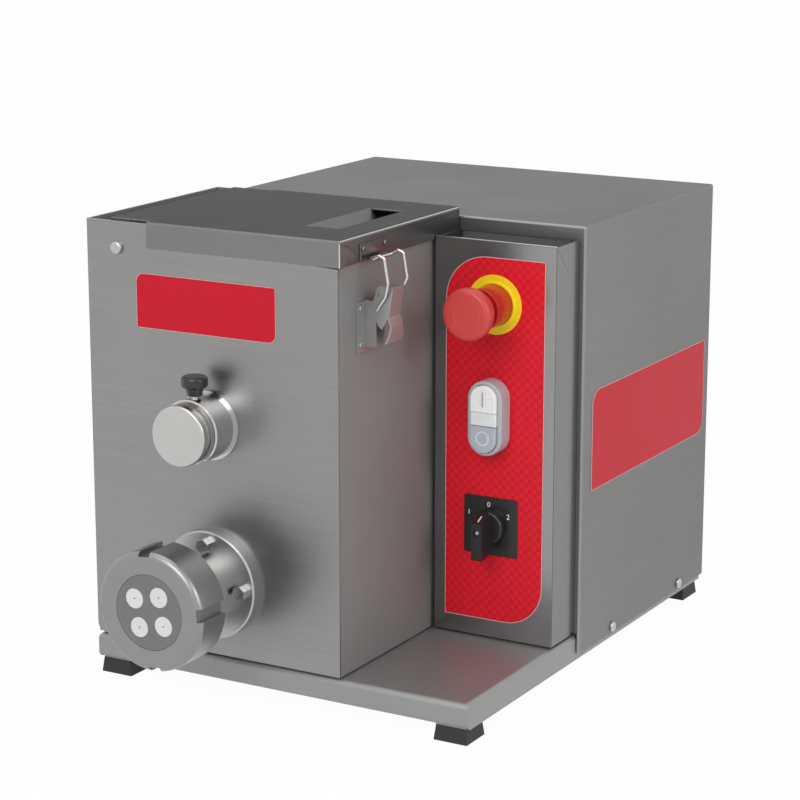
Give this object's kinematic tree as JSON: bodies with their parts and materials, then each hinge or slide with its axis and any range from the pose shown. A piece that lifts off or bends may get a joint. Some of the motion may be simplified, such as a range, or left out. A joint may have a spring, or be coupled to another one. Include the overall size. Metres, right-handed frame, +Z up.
{
  "type": "electric pasta maker",
  "caption": "Table-top electric pasta mixer and extruder: lidded stainless mixing tank, auger barrel with ring nut and die, drive housing and control box on a footed tray.",
  "frame": {"origin": "centre of the footprint box on the surface the feet stand on", "axes": "+X to the right seen from the front, +Y from the die at the front towards the back, +Z up"},
  "size_m": [0.3466, 0.5414, 0.3765],
  "materials": {
    "steel_panel": "brushed stainless sheet",
    "steel_polished": "polished stainless",
    "steel_cast": "turned stainless",
    "steel_frame": "painted frame steel",
    "gear_steel": "machined steel",
    "aluminium_part": "turned aluminium",
    "bronze": "bronze bush",
    "zinc_fastener": "plated fastener",
    "rubber_black": "moulded rubber",
    "plastic_black": "moulded plastic",
    "plastic_grey": "moulded plastic",
    "plastic_white": "moulded plastic",
    "plastic_red": "moulded plastic",
    "ring_yellow": "moulded disc",
    "decal_red": "printed film",
    "label_red": "plain film",
    "lens_grey": "frosted lens",
    "insert_white": "food-grade plastic",
    "motor_paint": "painted can",
    "belt_rubber": "belt"
  },
  "bodies": {
    "machine": {"base_tray": "steel_panel", "rubber_feet": "rubber_black", "foot_screws": "zinc_fastener", "tank_front_plate": "steel_panel", "tank_walls": "steel_panel", "mixing_trough": "steel_panel", "feed_throat": "steel_panel", "lid_pivot_bolts": "zinc_fastener", "latch_base": "steel_polished", "latch_pin": "zinc_fastener", "mixer_collar": "steel_polished", "extruder_barrel": "steel_polished", "barrel_bolts": "zinc_fastener", "die_plate": "aluminium_part", "die_inserts": "insert_white", "housing_cover": "steel_panel", "cover_screws": "zinc_fastener", "bulkhead": "steel_frame", "rear_bearing_plate": "steel_frame", "shaft_bearings": "gear_steel", "frame_spacers": "steel_frame", "drive_belt": "belt_rubber", "motor": "motor_paint", "control_box": "steel_polished", "panel_decal": "decal_red", "estop_ring": "ring_yellow", "estop_collar": "plastic_red", "button_bezel": "plastic_grey", "pilot_lens": "lens_grey", "selector_plate": "plastic_black", "switch_bodies": "plastic_black", "front_label": "label_red", "side_label": "label_red", "cable_gland": "plastic_black"},
    "lid": {"lid": "steel_panel", "lid_catch": "steel_polished"},
    "latch_lever": {"latch_lever": "steel_polished"},
    "latch_bail": {"latch_bail": "steel_polished"},
    "bearing_plug": {"bearing_plug": "steel_polished", "plug_bush": "bronze"},
    "thumbscrew": {"thumbscrew_knob": "plastic_black", "thumbscrew_stud": "zinc_fastener"},
    "ring_nut": {"ring_nut": "aluminium_part"},
    "mixer": {"mixer_shaft": "steel_cast", "mixer_gear": "gear_steel"},
    "auger": {"auger": "steel_cast", "auger_gear": "gear_steel"},
    "layshaft": {"layshaft": "steel_cast", "drive_pinion": "gear_steel", "layshaft_pulley": "aluminium_part"},
    "motor_rotor": {"motor_shaft": "steel_cast", "motor_pulley": "aluminium_part"},
    "estop_plunger": {"estop_stem": "plastic_red"},
    "estop_head": {"estop_head": "plastic_red"},
    "start_button": {"start_button": "plastic_white"},
    "stop_button": {"stop_button": "plastic_grey"},
    "selector": {"selector_knob": "plastic_black", "selector_cap": "plastic_grey", "selector_spindle": "zinc_fastener"}
  },
  "joints": [
    {"name": "lid_hinge", "type": "hinge", "parent": "machine", "child": "lid", "pos_m": [-0.14425, -0.09175, 0.3537], "axis": [0, -1, 0], "range_deg": [0, 98]},
    {"name": "latch_lever_hinge", "type": "hinge", "parent": "machine", "child": "latch_lever", "pos_m": [0.07025, -0.13725, 0.331], "axis": [0, -1, 0], "range_deg": [0, 90]},
    {"name": "latch_bail_hinge", "type": "hinge", "parent": "latch_lever", "child": "latch_bail", "pos_m": [0.06825, -0.13725, 0.318], "axis": [0, 1, 0], "range_deg": [0, 108]},
    {"name": "bearing_plug_slide", "type": "slide", "parent": "machine", "child": "bearing_plug", "axis": [0, -1, 0], "range_m": [0, 0.028]},
    {"name": "thumbscrew_turn", "type": "hinge", "parent": "machine", "child": "thumbscrew", "pos_m": [-0.06005, -0.20375, 0.2473], "axis": [0, 0, 1], "range_deg": [0, 720]},
    {"name": "ring_nut_turn", "type": "hinge", "parent": "machine", "child": "ring_nut", "pos_m": [-0.06005, -0.25425, 0.0938], "axis": [0, -1, 0], "range_deg": [0, 720]},
    {"name": "mixer_spin", "type": "hinge", "parent": "machine", "child": "mixer", "pos_m": [-0.06005, 0.00025, 0.2218], "axis": [0, 1, 0], "continuous": true},
    {"name": "auger_spin", "type": "hinge", "parent": "machine", "child": "auger", "pos_m": [-0.06005, 0.00025, 0.0938], "axis": [0, 1, 0], "continuous": true},
    {"name": "layshaft_spin", "type": "hinge", "parent": "machine", "child": "layshaft", "pos_m": [0.017, 0.03035, 0.12185], "axis": [0, 1, 0], "continuous": true},
    {"name": "motor_spin", "type": "hinge", "parent": "machine", "child": "motor_rotor", "pos_m": [0.09675, 0.10235, 0.25], "axis": [0, 1, 0], "continuous": true},
    {"name": "estop_push", "type": "slide", "parent": "machine", "child": "estop_plunger", "axis": [0, 1, 0], "range_m": [0, 0.005]},
    {"name": "estop_twist", "type": "hinge", "parent": "estop_plunger", "child": "estop_head", "pos_m": [0.11315, -0.09065, 0.309], "axis": [0, 1, 0], "range_deg": [0, 45], "stiffness_Nm_per_rad": 0.1},
    {"name": "start_press", "type": "slide", "parent": "machine", "child": "start_button", "axis": [0, 1, 0], "range_m": [0, 0.0025], "stiffness_N_per_m": 400, "springref_m": -0.002},
    {"name": "stop_press", "type": "slide", "parent": "machine", "child": "stop_button", "axis": [0, 1, 0], "range_m": [0, 0.0025], "stiffness_N_per_m": 400, "springref_m": -0.002},
    {"name": "selector_turn", "type": "hinge", "parent": "machine", "child": "selector", "pos_m": [0.11145, -0.04065, 0.1286], "axis": [0, 1, 0], "range_deg": [-60, 60]}
  ],
  "couplings": [
    {"joint": "auger_spin", "follows": "mixer_spin", "ratio": -1.4615},
    {"joint": "layshaft_spin", "follows": "mixer_spin", "ratio": 2.5333},
    {"joint": "motor_spin", "follows": "mixer_spin", "ratio": 6.1222},
    {"joint": "latch_bail_hinge", "follows": "latch_lever_hinge", "ratio": 1.2}
  ]
}
